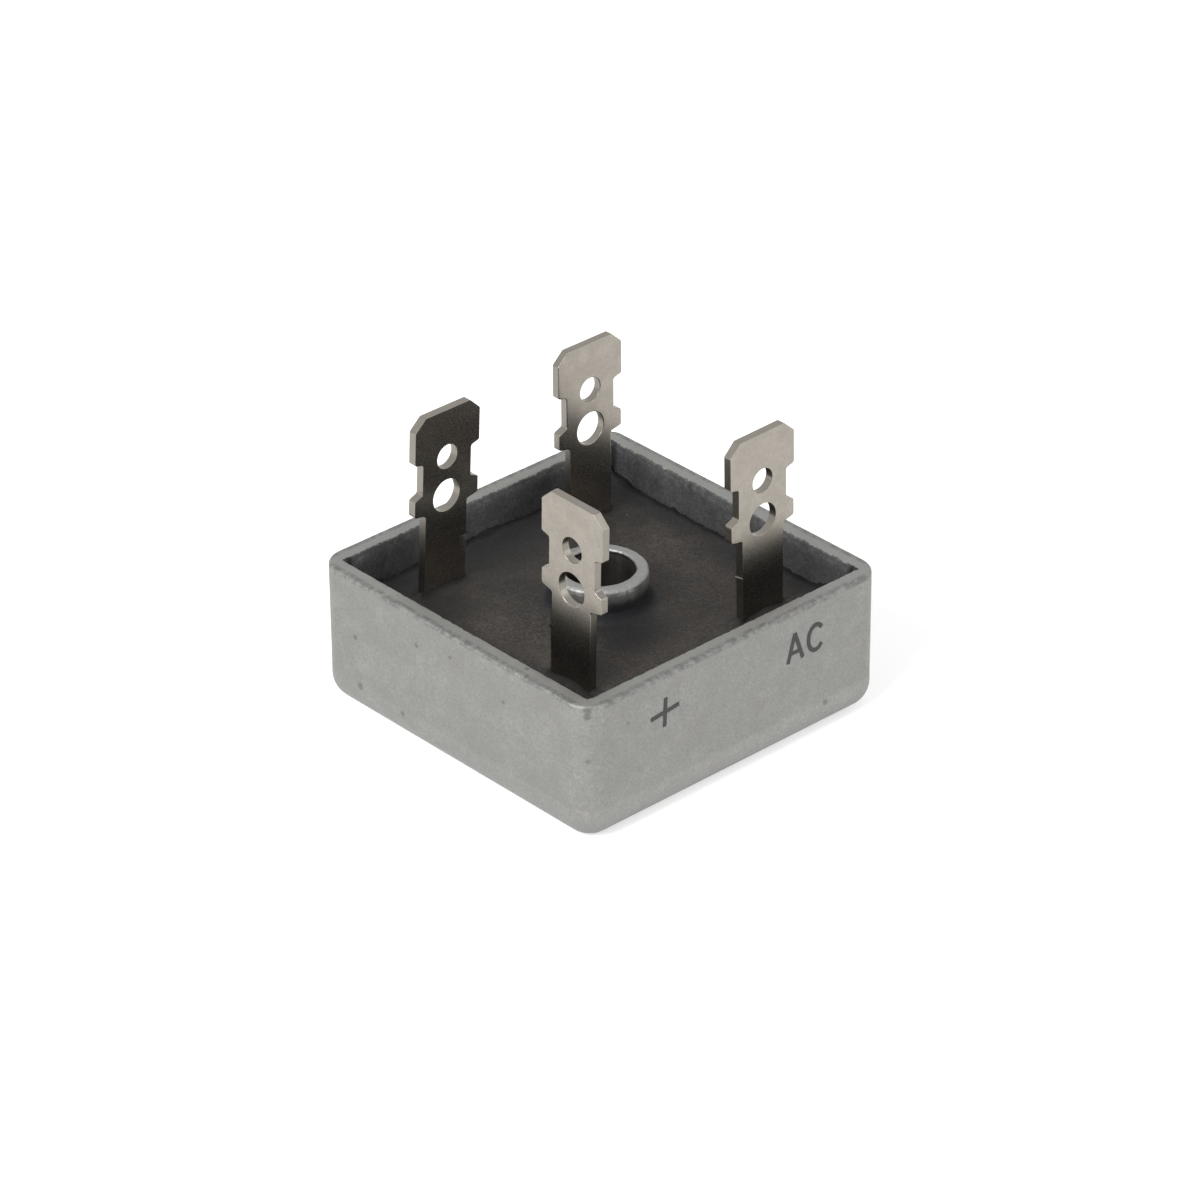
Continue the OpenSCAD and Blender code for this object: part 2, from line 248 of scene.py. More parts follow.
class Graph:
    """A material's node tree, with one short method for each kind of node used here."""

    def __init__(self, name):
        self.material = bpy.data.materials.new(name)
        self.material.use_nodes = True
        self.tree = self.material.node_tree
        self.shader = self.tree.nodes["Principled BSDF"]
        coordinates = self.tree.nodes.new("ShaderNodeTexCoord")
        in_millimetres = self.tree.nodes.new("ShaderNodeMapping")
        in_millimetres.inputs["Scale"].default_value = (1 / MM,) * 3
        self.tree.links.new(coordinates.outputs["Object"], in_millimetres.inputs["Vector"])
        self.place = in_millimetres.outputs["Vector"]

    def link(self, value, socket):
        """Joins another node's output to this socket, or sets it to a plain value."""
        if isinstance(value, bpy.types.NodeSocket):
            self.tree.links.new(value, socket)
        elif value is not None:
            socket.default_value = value

    def stretched(self, scale):
        node = self.tree.nodes.new("ShaderNodeMapping")
        node.inputs["Scale"].default_value = scale
        self.link(self.place, node.inputs["Vector"])
        return node.outputs["Vector"]

    def noise(self, size, detail=2.0, roughness=0.5, place=None, shift=0.0):
        """Noise whose features are about size millimetres across."""
        node = self.tree.nodes.new("ShaderNodeTexNoise")
        node.noise_dimensions = "4D"
        node.inputs["W"].default_value = shift
        node.inputs["Scale"].default_value = 1 / size
        node.inputs["Detail"].default_value = detail
        node.inputs["Roughness"].default_value = roughness
        self.link(place or self.place, node.inputs["Vector"])
        return node.outputs["Fac"]

    def dots(self, spacing, core, rim):
        """Round dots about spacing millimetres apart: 1 inside the core, 0 beyond the rim."""
        node = self.tree.nodes.new("ShaderNodeTexVoronoi")
        node.inputs["Scale"].default_value = 1 / spacing
        self.link(self.place, node.inputs["Vector"])
        return self.ramp(node.outputs["Distance"], core, rim, 1.0, 0.0)

    def ramp(self, value, low, high, out_low=0.0, out_high=1.0):
        """Smooth step from out_low, where the value is low, to out_high, where it is high."""
        node = self.tree.nodes.new("ShaderNodeMapRange")
        node.interpolation_type = "SMOOTHSTEP"
        limits = {"From Min": low, "From Max": high, "To Min": out_low, "To Max": out_high}
        for socket, number in limits.items():
            node.inputs[socket].default_value = number
        self.link(value, node.inputs["Value"])
        return node.outputs["Result"]

    def math(self, operation, first, second=None):
        node = self.tree.nodes.new("ShaderNodeMath")
        node.operation = operation
        self.link(first, node.inputs[0])
        self.link(second, node.inputs[1])
        return node.outputs["Value"]

    def times(self, first, *others):
        for other in others:
            first = self.math("MULTIPLY", first, other)
        return first

    def plus(self, first, second):
        return self.math("ADD", first, second)

    def mix(self, amount, first, second):
        node = self.tree.nodes.new("ShaderNodeMix")
        node.data_type = "RGBA"
        self.link(amount, node.inputs["Factor"])
        self.link(first, node.inputs[MIX_FIRST])
        self.link(second, node.inputs[MIX_SECOND])
        return node.outputs[MIX_RESULT]

    def near(self, point, reach):
        """1 at this point, given in millimetres, and 0 beyond the reach."""
        node = self.tree.nodes.new("ShaderNodeVectorMath")
        node.operation = "DISTANCE"
        self.link(self.place, node.inputs[0])
        node.inputs[1].default_value = point
        return self.ramp(node.outputs["Value"], SPOT_CORE * reach, reach, 1.0, 0.0)

    def attribute(self, name):
        node = self.tree.nodes.new("ShaderNodeAttribute")
        node.attribute_name = name
        return node.outputs["Fac"]

    def axis(self, name):
        node = self.tree.nodes.new("ShaderNodeSeparateXYZ")
        self.link(self.place, node.inputs["Vector"])
        return node.outputs[name]

    def radius(self):
        """Distance from the axis of the screw hole."""
        across = self.math("POWER", self.axis("X"), 2.0)
        along = self.math("POWER", self.axis("Y"), 2.0)
        return self.math("SQRT", self.plus(across, along))

    def off_centre(self, which):
        """The larger (MAXIMUM) or the smaller (MINIMUM) of the distances from the middle planes."""
        across = self.math("ABSOLUTE", self.axis("X"))
        along = self.math("ABSOLUTE", self.axis("Y"))
        return self.math(which, across, along)

    def bump(self, height, distance, under=None):
        """Bump of this height map, distance in millimetres."""
        node = self.tree.nodes.new("ShaderNodeBump")
        node.inputs["Distance"].default_value = distance * MM
        self.link(height, node.inputs["Height"])
        self.link(under, node.inputs["Normal"])
        return node.outputs["Normal"]

    def finish(self, color, roughness, metallic=0.0, normal=None, **fixed):
        self.link(color, self.shader.inputs["Base Color"])
        self.link(roughness, self.shader.inputs["Roughness"])
        self.shader.inputs["Metallic"].default_value = metallic
        self.link(normal, self.shader.inputs["Normal"])
        for name, value in fixed.items():
            self.shader.inputs[name].default_value = value
        return self.material


def grey(level, tint=(1.0, 1.0, 1.0)):
    return (level * tint[0], level * tint[1], level * tint[2], 1.0)


# ---- materials ----

def case_metal():
    """Matte cast aluminium: faint clouds and a fine grain, a ground rim with dark rubs round its
    outer edge, painted shade on the inner walls, in their corners, in the hole and towards the bottom,
    and a boss that the potting has darkened."""
    aluminium = (1.0, 1.0, 0.955)
    warm_stain = (0.268, 0.242, 0.231, 1)
    wall_shade_dark = (0.158, 0.162, 0.165, 1)
    wall_shade_pale = (0.25, 0.253, 0.253, 1)
    scuffed = (0.351, 0.363, 0.358, 1)
    potting_film = (0.062, 0.064, 0.072, 1)
    bore_shade_dark = (0.062, 0.055, 0.048, 1)
    speck = grey(0.101)

    g = Graph("case_metal")
    z = g.axis("Z")
    wide = g.off_centre("MAXIMUM")
    radius = g.radius()
    clouds = g.noise(2.6, detail=5, roughness=0.65)
    grain = g.noise(0.17, detail=3, roughness=0.75, shift=3.1)
    ragged = g.noise(0.7, detail=6, roughness=0.8, shift=7.7)
    blotches = g.noise(1.1, detail=4, roughness=0.7, shift=1.7)
    warm = g.noise(1.5, detail=2, shift=9.0)
    color = g.mix(g.ramp(clouds, 0.32, 0.68), grey(0.296, aluminium), grey(0.371, aluminium))
    color = g.mix(g.ramp(blotches, 0.35, 0.65, 0.0, 0.5), color, grey(0.275, aluminium))
    color = g.mix(g.ramp(grain, 0.25, 0.75, 0.0, 0.65), color, grey(0.2, aluminium))
    color = g.mix(g.ramp(warm, 0.55, 0.75, 0.0, 0.35), color, warm_stain)
    # Ground rim, more even than the cast faces
    rim = g.ramp(z, CASE_H - 0.14, CASE_H - 0.02)
    color = g.mix(g.times(rim, 0.5), color, grey(0.301, aluminium))
    # Dark rubs round the outer edge of the rim
    rub = g.times(g.ramp(ragged, 0.4, 0.6), g.ramp(z, CASE_H - 0.4, CASE_H - 0.12),
                  g.ramp(wide, HALF - 0.7, HALF - 0.4))
    color = g.mix(g.times(rub, 0.6), color, grey(0.108))
    # Painted shade on the inner walls, mottled and darker, from a ragged line along the rim's inner edge
    # down
    on_wall = g.times(g.ramp(wide, INNER_HALF - 1, INNER_HALF - 0.5),
                      g.ramp(z, FLOOR_Z, FLOOR_Z + 0.5))
    rim_edge = INNER_HALF + RIM_CHAMFER
    wall_shade_edge = g.ramp(ragged, 0.25, 0.75, rim_edge - 0.18, rim_edge + 0.08)
    below_wall_shade_edge = g.ramp(g.math("SUBTRACT", wide, wall_shade_edge), -0.03, 0.05, 1.0, 0.0)
    inside = g.times(on_wall, below_wall_shade_edge)
    mottle = g.noise(0.9, detail=6, roughness=0.75, shift=5.5)
    painted_wall_shade = g.mix(g.ramp(mottle, 0.3, 0.7), wall_shade_dark, wall_shade_pale)
    painted_wall_shade = g.mix(g.ramp(grain, 0.35, 0.65, 0.0, 0.7), painted_wall_shade, grey(0.107))
    # Painted shade, darker still, on the chamfer just under the rim's inner edge
    painted_wall_shade = g.mix(g.ramp(wide, INNER_HALF + 0.03, INNER_HALF + 0.08, 0.0, 0.65), painted_wall_shade, grey(0.083))
    color = g.mix(inside, color, painted_wall_shade)
    # Painted shade in the upright inner corners
    deep = g.times(g.ramp(g.off_centre("MINIMUM"), INNER_HALF - 0.9, INNER_HALF - 0.3), inside)
    color = g.mix(g.times(deep, 0.85), color, grey(0.032))
    # Scuffed ring on top of the boss
    by_boss = g.ramp(radius, BOSS_R + 0.3, BOSS_R + 0.5, 1.0, 0.0)
    ring = g.times(by_boss, g.ramp(z, BOSS_TOP - 0.4, BOSS_TOP - 0.15))
    color = g.mix(g.times(ring, 0.5), color, scuffed)
    # Potting that has run up the wall of the boss, and painted shade inside the hole
    film = g.ramp(g.plus(z, g.times(ragged, 0.8)), BOSS_TOP - 0.1, BOSS_TOP - 1.0)
    film = g.times(film, g.ramp(z, FLOOR_Z, FLOOR_Z + 1.0),
                   g.ramp(radius, BOSS_R - 0.1, BOSS_R - 0.03), by_boss)
    color = g.mix(g.times(film, 0.93), color, potting_film)
    bore_shade = g.times(g.ramp(radius, HOLE_R + 0.03, HOLE_R + 0.12, 1.0, 0.0),
                   g.ramp(z, BOSS_TOP - 0.05, BOSS_TOP - 0.3))
    color = g.mix(g.times(bore_shade, 0.85), color, bore_shade_dark)
    # Pits and specks, and painted shade that makes the case darker towards the bottom
    color = g.mix(g.times(g.dots(3.7, 0.03, 0.07), 0.5), color, speck)
    for point, reach in SPECKS:
        color = g.mix(g.times(g.near(point, reach), 0.55), color, speck)
    foot_shade = g.times(g.ramp(z, 2.2, 0.4), g.ramp(clouds, 0.35, 0.65, 0.2, 0.6))
    color = g.mix(foot_shade, color, grey(0.209))
    roughness = g.plus(g.ramp(clouds, 0.25, 0.75, 0.46, 0.58), g.times(on_wall, 0.12))
    normal = g.bump(grain, 0.02)
    normal = g.bump(g.noise(0.7, detail=4, roughness=0.6, shift=5.0), 0.025, under=normal)
    scuffs = g.noise(0.4, detail=3, roughness=0.7, shift=2.6)
    normal = g.bump(g.times(ring, scuffs), 0.09, under=normal)
    return g.finish(color, roughness, 1.0, normal)


def potting_compound():
    """Dark brown epoxy, grainy and mottled, with painted shade: darker towards the back, nearly black
    against the walls and round the stems, and blue-black round the boss and in front of it."""
    brown_dark = (0.026, 0.022, 0.0185, 1)
    brown_pale = (0.062, 0.051, 0.0425, 1)
    drift_dark = (0.021, 0.019, 0.0175, 1)
    grit_pale = (0.11, 0.095, 0.082, 1)
    grit_dark = (0.008, 0.007, 0.006, 1)
    back_shade_dark = (0.0145, 0.0135, 0.013, 1)
    wall_shade_blue = (0.018, 0.019, 0.021, 1)
    crack_shadow_black = (0.005, 0.0045, 0.004, 1)
    boss_shade_dark = (0.011, 0.012, 0.016, 1)
    painted_shadow_dark = (0.009, 0.01, 0.012, 1)
    dust_pale = (0.3, 0.29, 0.27, 1)

    g = Graph("potting_compound")
    wide = g.off_centre("MAXIMUM")
    grit = g.noise(0.15, detail=3, roughness=0.8, shift=8.3)
    mottle = g.noise(0.9, detail=6, roughness=0.75, shift=6.0)
    drift = g.noise(4.5, detail=4, roughness=0.6, shift=2.0)
    color = g.mix(g.ramp(mottle, 0.36, 0.62), brown_dark, brown_pale)
    color = g.mix(g.ramp(drift, 0.42, 0.62, 0.0, 0.6), color, drift_dark)
    color = g.mix(g.ramp(grit, 0.5, 0.64, 0.0, 0.55), color, grit_pale)
    color = g.mix(g.ramp(grit, 0.49, 0.38, 0.0, 0.7), color, grit_dark)
    # Painted shade: darker towards the back
    far = g.plus(g.axis("Y"), g.times(drift, 9.0))
    color = g.mix(g.ramp(far, 6.5, 13.5, 0.0, 0.75), color, back_shade_dark)
    # Painted shade: a bluer and darker band along the walls, with a painted shadow, almost black, where
    # it meets them
    edge = g.plus(g.times(drift, 6.0), wide)
    color = g.mix(g.ramp(edge, 11.3, 14.8, 0.0, 0.68), color, wall_shade_blue)
    line = g.plus(wide, g.times(mottle, 0.9))
    color = g.mix(g.ramp(line, INNER_HALF - 0.4, INNER_HALF - 0.05, 0.0, 0.92), color, crack_shadow_black)
    # Painted shadow, almost black, round each stem where it leaves the potting
    color = g.mix(g.times(g.attribute("crevice"), 0.9), color, crack_shadow_black)
    # Painted shade round the boss, and painted shadows in front of it
    boss_shade_reach = g.plus(g.radius(), g.times(mottle, 1.6))
    color = g.mix(g.ramp(boss_shade_reach, BOSS_R + 0.9, BOSS_R + 1.9, 0.9, 0.0), color, boss_shade_dark)
    for point, reach in POTTING_SHADOWS:
        shadow_spread = g.times(g.near(point, reach), g.ramp(mottle, 0.3, 0.6, 1.0, 0.7))
        color = g.mix(g.times(shadow_spread, 0.92), color, painted_shadow_dark)
    color = g.mix(g.times(g.dots(1.9, 0.02, 0.045), 0.4), color, dust_pale)
    roughness = g.ramp(mottle, 0.3, 0.7, 0.5, 0.72)
    normal = g.bump(grit, 0.04)
    normal = g.bump(mottle, 0.09, under=normal)
    return g.finish(color, roughness, 0.0, normal, **{"Specular IOR Level": 0.3})


def tin_plate():
    """Satin tin on the stamped terminals: soft blotches, a fine grain, and duller cut edges."""
    tin_dark = (0.3, 0.275, 0.239, 1)
    tin_pale = (0.351, 0.321, 0.281, 1)
    grain_dark = (0.234, 0.215, 0.187, 1)
    edge_dark = (0.203, 0.19, 0.168, 1)

    g = Graph("tin_plate")
    blotches = g.noise(1.1, detail=5, roughness=0.7, shift=0.4)
    grain = g.noise(0.15, detail=3, roughness=0.7, shift=4.3)
    cut_edge = g.attribute("cut_edge")
    color = g.mix(g.ramp(blotches, 0.35, 0.65), tin_dark, tin_pale)
    color = g.mix(g.ramp(grain, 0.3, 0.7, 0.0, 0.35), color, grain_dark)
    color = g.mix(g.times(cut_edge, 0.5), color, edge_dark)
    roughness = g.plus(g.ramp(grain, 0.3, 0.7, 0.255, 0.275), g.times(cut_edge, 0.06))
    normal = g.bump(grain, 0.0012)
    normal = g.bump(g.noise(1.2, detail=1, shift=1.6), 0.006, under=normal)
    return g.finish(color, roughness, 1.0, normal)


def printing_ink():
    """Worn dark grey pad-printing ink."""
    g = Graph("printing_ink")
    worn = g.ramp(g.noise(0.22, detail=4, roughness=0.7), 0.55, 0.72)
    color = g.mix(worn, (0.032, 0.032, 0.031, 1), (0.12, 0.12, 0.117, 1))
    return g.finish(color, 0.6, 0.0, g.bump(g.noise(0.16, detail=3, shift=3.1), 0.012))


def rolled_copper():
    g = Graph("rolled_copper")
    rolling = g.noise(0.3, detail=3, place=g.stretched((0.2, 3.0, 1.0)))
    color = g.mix(g.ramp(rolling, 0.3, 0.7), (0.62, 0.29, 0.17, 1), (0.78, 0.4, 0.25, 1))
    return g.finish(color, g.ramp(rolling, 0.3, 0.7, 0.25, 0.4), 1.0, g.bump(rolling, 0.004))


def fired_ceramic():
    g = Graph("fired_ceramic")
    grain = g.noise(0.2, detail=4)
    color = g.mix(g.ramp(grain, 0.3, 0.7), (0.8, 0.78, 0.72, 1), (0.88, 0.86, 0.8, 1))
    return g.finish(color, 0.55, 0.0, g.bump(grain, 0.006))


def polished_silicon():
    g = Graph("polished_silicon")
    haze = g.noise(0.8, detail=3)
    color = g.mix(g.ramp(haze, 0.3, 0.7), (0.07, 0.075, 0.09, 1), (0.12, 0.125, 0.145, 1))
    return g.finish(color, g.ramp(haze, 0.3, 0.7, 0.15, 0.3), 0.6)


def dull_solder():
    g = Graph("dull_solder")
    lumps = g.noise(0.4, detail=4)
    color = g.mix(g.ramp(lumps, 0.3, 0.7), (0.42, 0.42, 0.43, 1), (0.6, 0.6, 0.61, 1))
    return g.finish(color, g.ramp(lumps, 0.3, 0.7, 0.3, 0.5), 1.0, g.bump(lumps, 0.02))


# ---- mesh helpers ----

def new_piece(name, vertices, faces, material, slot_name, *replaced):
    mesh = bpy.data.meshes.new(name)
    mesh.from_pydata([Vector(v) * MM for v in vertices], [], faces)
    return add_piece(name, mesh, material, slot_name, *replaced)


def add_piece(name, mesh, material, slot_name, *replaced):
    mesh.materials.clear()
    mesh.materials.append(material)
    piece = bpy.data.objects.new(name, mesh)
    bpy.context.scene.collection.objects.link(piece)
    if replaced:
        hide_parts(*replaced)
    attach(piece, ROOT)
    return piece


def smooth_by_angle(mesh, degrees):
    mesh.shade_smooth()
    mesh.set_sharp_from_angle(angle=math.radians(degrees))


def quarter_turn(steps, first=0):
    """Angles of a quarter turn in this many steps, from the first step on."""
    return [math.radians(90 * step / steps) for step in range(first, steps + 1)]


def square_places():
    """Where the points of every ring lie: (side, share along it) or (corner, share of its turn)."""
    places = []
    for quarter in range(4):
        places += [("side", quarter, step / SIDE_STEPS) for step in range(SIDE_STEPS)]
        places += [("corner", quarter, step / CORNER_STEPS) for step in range(CORNER_STEPS)]
    return places


PLACES = square_places()


def square_ring(half, corner_r, z, outside=False):
    """Ring of a square with round corners, one point for each place. On the outside of the case
    the back corner is tighter than the rest."""
    radii = [corner_r * BACK_CORNER if outside else corner_r, corner_r, corner_r, corner_r]
    ring = []
    for kind, quarter, share in PLACES:
        turn = Matrix.Rotation(math.radians(90 * quarter), 3, "Z")
        straight = half - radii[quarter]
        if kind == "side":
            start = radii[quarter - 1] - half
            point = Vector((half, start + share * (straight - start), z))
        else:
            angle = math.radians(90 * share)
            point = Vector((straight + radii[quarter] * math.cos(angle),
                            straight + radii[quarter] * math.sin(angle), z))
        ring.append(turn @ point)
    return ring


def round_ring(guide, radius, z):
    """Ring of a circle whose points lie in the same directions as the guide's."""
    return [outward(p) * radius + Vector((0, 0, z)) for p in guide]


def outward(point):
    """Level direction from the axis of the screw hole to a point."""
    return Vector((point.x, point.y, 0)).normalized()


def loft(rings):
    """Vertices and faces of a surface through rings, closed from the last one to the first."""
    count = len(rings[0])
    vertices = [point for ring in rings for point in ring]
    faces = []
    for level in range(len(rings)):
        a = level * count
        b = (level + 1) % len(rings) * count
        for i in range(count):
            j = (i + 1) % count
            faces.append((a + i, a + j, b + j, b + i))
    return vertices, faces


# ---- case ----

def case_shell(material):
    """Cup and boss as one closed surface: out from the hole, up the outside, over the rim,
    down the inside, in over the floor, up the boss and down the hole."""
    guide = square_ring(HALF, EDGE_R, 0)
    rings = [round_ring(guide, HOLE_R + BORE_CHAMFER, 0), round_ring(guide, UNDERSIDE_RING_R, 0)]
    rings += outer_wall()
    rings.append(square_ring((HALF + INNER_HALF) / 2, RIM_MIDDLE_CORNER_R, CASE_H))
    for out, drop in RIM_PROFILE:
        rings.append(ragged_ring(INNER_HALF + out, INNER_CORNER_R + out, CASE_H - drop))
    rings += [square_ring(INNER_HALF, INNER_CORNER_R, z) for z in (*INNER_HEIGHTS, FLOOR_Z)]
    rings.append(round_ring(guide, FLOOR_RING_R, FLOOR_Z))
    rings += boss_and_bore(guide)
    wave_cast_faces(rings)
    vertices, faces = loft(rings)
    shell = new_piece("case_shell", vertices, faces, material, "case", "case")
    smooth_by_angle(shell.data, CASE_SMOOTH_ANGLE)


def outer_wall():
    """Rings from the underside up the round bottom edge and the side, and over the rim's outer edge."""
    rings = []
    for angle in quarter_turn(10):
        reach = EDGE_R * math.sin(angle)
        rings.append(square_ring(HALF - EDGE_R + reach, max(reach, SMALLEST_CORNER_R),
                                 EDGE_R * (1 - math.cos(angle)), outside=True))
    for z in (*OUTER_HEIGHTS, CASE_H - RIM_OUTER_R):
        rings.append(square_ring(HALF, EDGE_R, z, outside=True))
    for angle in quarter_turn(5, first=1):
        drop = RIM_OUTER_R * (1 - math.cos(angle))
        rings.append(square_ring(HALF - drop, EDGE_R - drop,
                                 CASE_H - RIM_OUTER_R * (1 - math.sin(angle)), outside=True))
    return rings


def ragged_ring(half, corner_r, z):
    """Ring of the rim's inner edge, ragged where the casting's flash was broken off."""
    ring = []
    for point in square_ring(half, corner_r, z):
        ragged = noise.fractal(Vector((point.x, point.y, 0)) * RIM_NOISE, *CASTING_FRACTAL)
        chip = Vector((0, 0, RIM_CHIPPED)) * abs(ragged)
        ring.append(point + outward(point) * RIM_RAGGED * ragged - chip)
    return ring


def boss_and_bore(guide):
    """Rings up the boss, over its scuffed top and down the screw hole."""
    rings = [round_ring(guide, BOSS_R, z) for z in (FLOOR_Z, *BOSS_HEIGHTS, BOSS_TOP - BOSS_EDGE_R)]
    for angle in quarter_turn(5, first=1):
        rings.append(round_ring(guide, BOSS_R - BOSS_EDGE_R * (1 - math.cos(angle)),
                                BOSS_TOP - BOSS_EDGE_R * (1 - math.sin(angle))))
    for angle in quarter_turn(4):
        rings.append(round_ring(guide, HOLE_R + BORE_EDGE_R * (1 - math.sin(angle)),
                                BOSS_TOP - BORE_EDGE_R * (1 - math.cos(angle))))
    rings += [round_ring(guide, HOLE_R, z) for z in (*BORE_HEIGHTS, BORE_CHAMFER)]
    dent_boss(rings)
    return rings


def dent_boss(rings):
    """The top of the boss is scuffed and a little uneven."""
    for ring in rings:
        for i, point in enumerate(ring):
            if point.z > BOSS_TOP - SCUFFED_DEPTH:
                dent = noise.fractal(point * BOSS_NOISE, *CASTING_FRACTAL)
                sunk = Vector((0, 0, BOSS_DENT)) * abs(dent)
                ring[i] = point + outward(point) * BOSS_DENT * dent - sunk


def wave_cast_faces(rings):
    """The cast faces are never quite flat."""
    for ring in rings:
        for i, point in enumerate(ring):
            if max(abs(point.x), abs(point.y)) > HALF - CAST_BAND and point.z > EDGE_R:
                wave = 0.5 + 0.5 * noise.noise(point * CAST_NOISE)
                ring[i] = point - outward(point) * CAST_WAVE * wave


# ---- potting ----

def stem_places():
    """Middle and half-size, in plan, of each terminal's stem where it leaves the potting."""
    places = []
    for name in TERMINALS:
        mesh = frame["nodes"][name].data
        cut = []
        for edge in mesh.edges:
            low, high = sorted((mesh.vertices[i].co / MM for i in edge.vertices), key=lambda p: p.z)
            if low.z < POTTING_LEVEL < high.z:
                cut.append(low.lerp(high, (POTTING_LEVEL - low.z) / (high.z - low.z)))
        low = Vector((min(p.x for p in cut), min(p.y for p in cut)))
        high = Vector((max(p.x for p in cut), max(p.y for p in cut)))
        places.append(((low + high) / 2, (high - low) / 2))
    return places


def stem_gap(x, y, middle, half):
    """Distance from a point of the plan to a stem."""
    return math.hypot(max(abs(x - middle.x) - half.x, 0), max(abs(y - middle.y) - half.y, 0))


def wander(x, y, layer, closeness):
    """Smooth noise over the plan, with a pattern of its own on each layer."""
    return noise.noise(Vector((x, y, layer)) * closeness)


def potting_height(x, y, stems):
    """Height of the potting's surface: it climbs the wall, the corners, the boss and the stems,
    with a crack of uneven depth along the wall and a groove round each stem."""
    gap_x = INNER_HALF - abs(x)
    gap_y = INNER_HALF - abs(y)
    height = POTTING_LEVEL + POTTING_SWELL * wander(x, y, 5, 0.45)
    wall_creep = WALL_CREEP + WALL_CREEP_WANDER * wander(x, y, 0, 0.3)
    height += wall_creep * (math.exp(-gap_x / WALL_REACH) + math.exp(-gap_y / WALL_REACH))
    height += CORNER_CREEP * math.exp(-(gap_x + gap_y) / CORNER_REACH)
    ragged = noise.fractal(Vector((x, y, 7)) * 0.8, *CRACK_FRACTAL)
    crack = max(0, CRACK_DEPTH + CRACK_DEPTH * ragged)
    height -= crack * math.exp(-(min(gap_x, gap_y) / CRACK_WIDTH) ** 2)
    height += BOSS_CREEP * math.exp(-(math.hypot(x, y) - BOSS_R) / BOSS_REACH)
    for middle, half in stems:
        corner = min(1, abs(x - middle.x) / half.x, abs(y - middle.y) / half.y)
        gap = stem_gap(x, y, middle, half)
        height += TAB_CREEP * (1 - TAB_CORNER_LOSS * corner ** 2) * math.exp(-gap / TAB_REACH)
        height -= GROOVE_DEPTH * math.exp(-(gap / GROOVE_WIDTH) ** 2)
    return height


def potting_fill(material):
    """Potting as a closed body with its true surface."""
    wall = square_ring(INNER_HALF, INNER_CORNER_R, 0)
    boss = round_ring(wall, BOSS_R, 0)
    stems = stem_places()
    rings = []
    for step in range(POTTING_RINGS + 1):
        share = step / POTTING_RINGS
        share -= RING_CROWDING * math.sin(2 * math.pi * share)
        flat = [a.lerp(b, share) for a, b in zip(wall, boss)]
        rings.append([Vector((p.x, p.y, potting_height(p.x, p.y, stems))) for p in flat])
    rings.append(round_ring(wall, BOSS_R, FLOOR_Z))
    rings.append(square_ring(INNER_HALF, INNER_CORNER_R, FLOOR_Z))
    vertices, faces = loft(rings)
    fill = new_piece("potting_fill", vertices, faces, material, "potting", "potting")
    smooth_by_angle(fill.data, POTTING_SMOOTH_ANGLE)
    mark_crevice_shade(fill.data, stems)


def mark_crevice_shade(mesh, stems):
    """Attribute that is 1 in the painted shadow, almost black, round each stem, and 0 away from it."""
    crevice = mesh.attributes.new("crevice", "FLOAT", "POINT")
    for vertex in mesh.vertices:
        point = vertex.co / MM
        gap = min(stem_gap(point.x, point.y, *stem) for stem in stems)
        width = CREVICE_SHADE_WIDTH + CREVICE_SHADE_WANDER * wander(point.x, point.y, 3, 1.1)
        crevice.data[vertex.index].value = math.exp(-(gap / width) ** 2)


# ---- terminals ----

def stamped_terminal(node, material):
    """Copy of a terminal's solid with the rolled edges that stamping gives."""
    bm = bmesh.new()
    bm.from_mesh(frame["nodes"][node].data)
    bmesh.ops.remove_doubles(bm, verts=bm.verts, dist=SAME_POINT * MM)
    bmesh.ops.dissolve_limit(bm, angle_limit=math.radians(FLAT_ANGLE), verts=bm.verts, edges=bm.edges)
    sheet = max(bm.faces, key=lambda f: f.calc_area()).normal.copy()
    tie_bar_stub(bm, *STUBS[node])
    bmesh.ops.bevel(bm, geom=stamped_edges(bm, sheet), offset=ROLLED_EDGE * MM, offset_type="OFFSET",
                    segments=ROLLED_EDGE_STEPS, profile=0.5, affect="EDGES", clamp_overlap=True)
    bmesh.ops.triangulate(bm, faces=[f for f in bm.faces if len(f.verts) > 4])
    mesh = bpy.data.meshes.new(node)
    bm.to_mesh(mesh)
    bm.free()
    cut = mesh.attributes.new("cut_edge", "FLOAT", "FACE")
    for face in mesh.polygons:
        cut.data[face.index].value = abs(face.normal.dot(sheet)) < CUT_FACE_COSINE
    add_piece("stamped_" + node, mesh, material, "terminal", node)
    flat_face_normals(mesh, SHEET_ANGLE)


def stamped_edges(bm, sheet):
    """Visible sharp edges that run along the sheet, where the die has rolled the metal over."""
    edges = []
    for edge in bm.edges:
        along = (edge.verts[0].co - edge.verts[1].co).normalized()
        low = min(v.co.z for v in edge.verts) / MM
        sharp = edge.calc_face_angle(0) > math.radians(SHARP_ANGLE)
        level = abs(along.dot(sheet)) < ALONG_SHEET_COSINE
        if sharp and level and low > POTTING_LEVEL - HIDDEN_DEPTH:
            edges.append(edge)
    return edges


def tie_bar_stub(bm, side, height, which):
    """Tooth on one corner of a stem's edge."""
    side = Vector((*side, 0))
    for z in (height - STUB_HALF_H, height, height + STUB_HALF_H):
        bmesh.ops.bisect_plane(bm, geom=bm.verts[:] + bm.edges[:] + bm.faces[:], dist=CUT_TOLERANCE * MM,
                               plane_co=(0, 0, z * MM), plane_no=(0, 0, 1))
    ring = [v for v in bm.verts if abs(v.co.z - height * MM) < ON_CUT * MM]
    edge = max(v.co.dot(side) for v in ring)
    corners = [v for v in ring if v.co.dot(side) > edge - CORNER_OFFSET * MM]
    corner = max(corners, key=lambda v: which * (v.co.x + v.co.y))
    corner.co += side * STUB_REACH * MM


